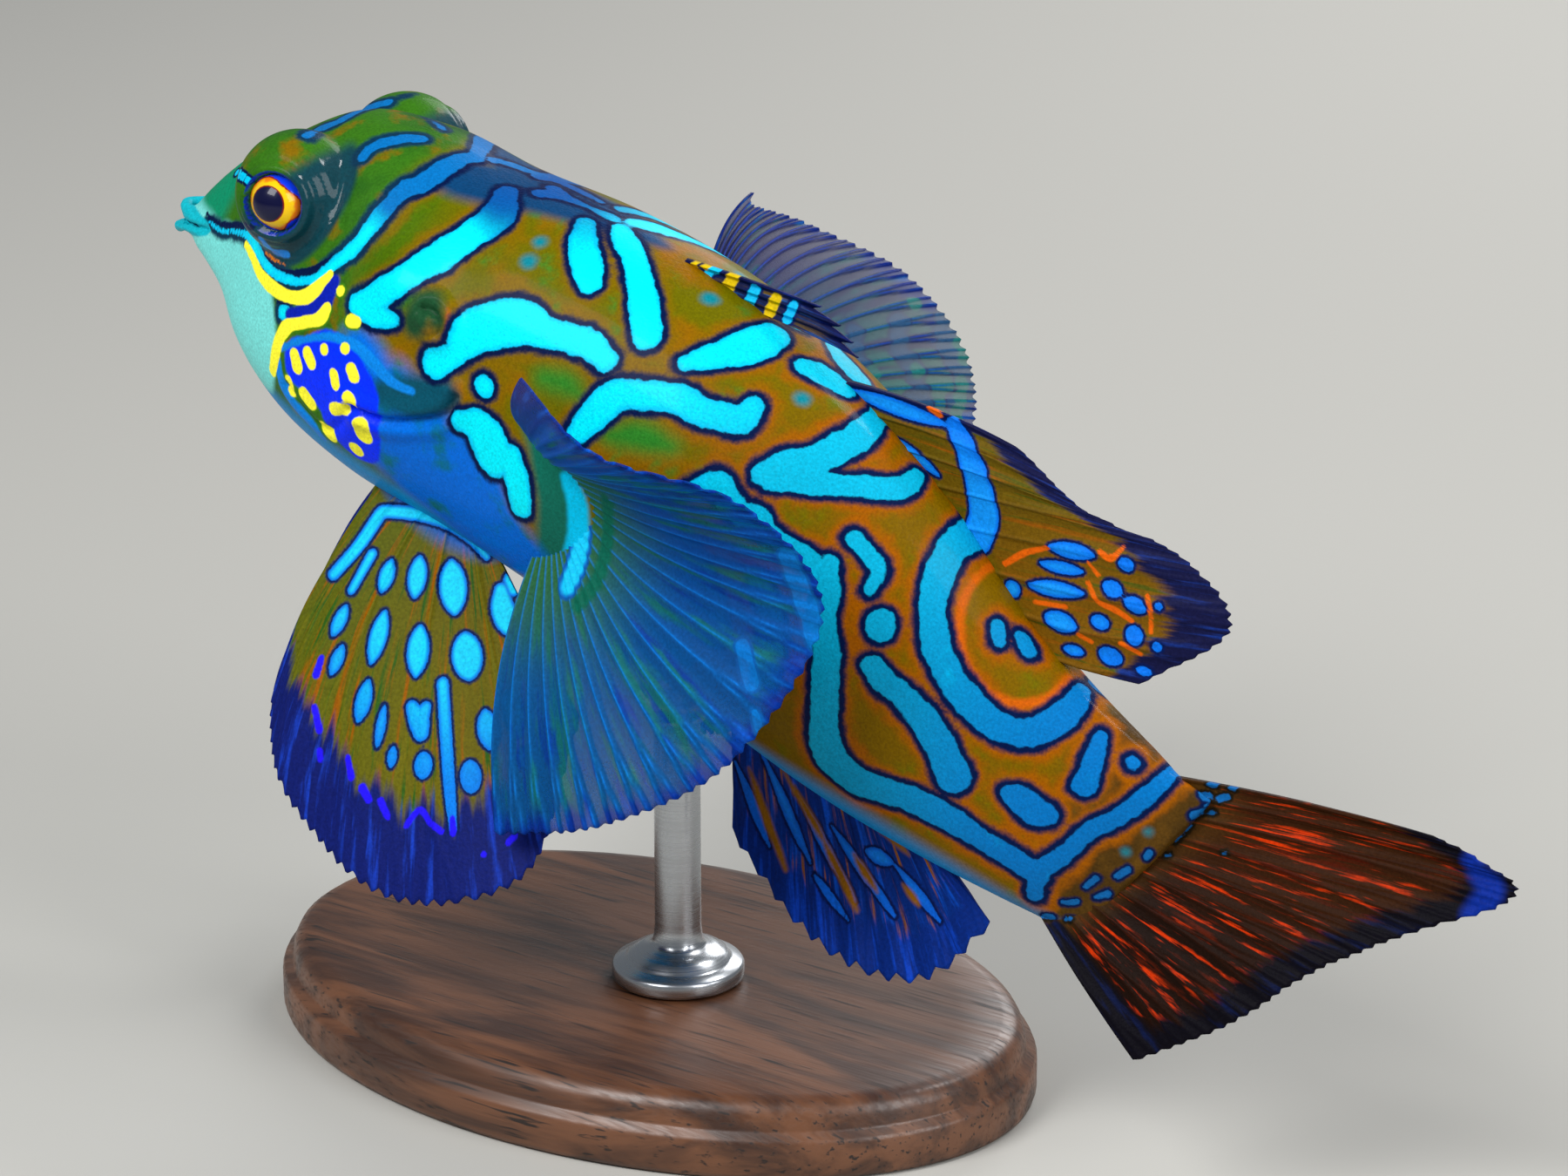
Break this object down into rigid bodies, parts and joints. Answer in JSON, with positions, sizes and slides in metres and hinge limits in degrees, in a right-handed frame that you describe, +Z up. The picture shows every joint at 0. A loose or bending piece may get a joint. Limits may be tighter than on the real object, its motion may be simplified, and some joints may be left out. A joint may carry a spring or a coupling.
{
  "type": "mandarinfish, still life-size model on a display stand",
  "caption": "Life-size still model of a mandarinfish swimming nose-up, fins spread, carried over a flat base by one short rod under the belly.",
  "frame": {"origin": "middle of the underside of the stand's base", "axes": "+Z up; the head points to -X and the tail to +X; the fish's left side faces -Y"},
  "size_m": [0.0689, 0.0372, 0.0413],
  "materials": {
    "wet_skin": "wet scaleless skin, cyan bands with navy edges on orange-brown and olive green",
    "fin_membrane": "thin wet fin membrane over soft rays, blue and orange spots",
    "eye": "clear domed cornea over an orange iris and dark pupil",
    "stand_wood": "dark walnut, oiled and rubbed",
    "stand_metal": "turned stainless steel, fine brushing round the rod"
  },
  "bodies": {
    "root": {"head": "wet_skin", "trunk": "wet_skin", "tail": "wet_skin", "eye_left": "eye", "eye_right": "eye", "dorsal_fin_first": "fin_membrane", "dorsal_fin_second": "fin_membrane", "anal_fin": "fin_membrane", "caudal_fin": "fin_membrane", "pectoral_fin_left": "fin_membrane", "pectoral_fin_right": "fin_membrane", "pelvic_fin_left": "fin_membrane", "pelvic_fin_right": "fin_membrane", "stand_base": "stand_wood", "stand_rod": "stand_metal"}
  },
  "joints": []
}
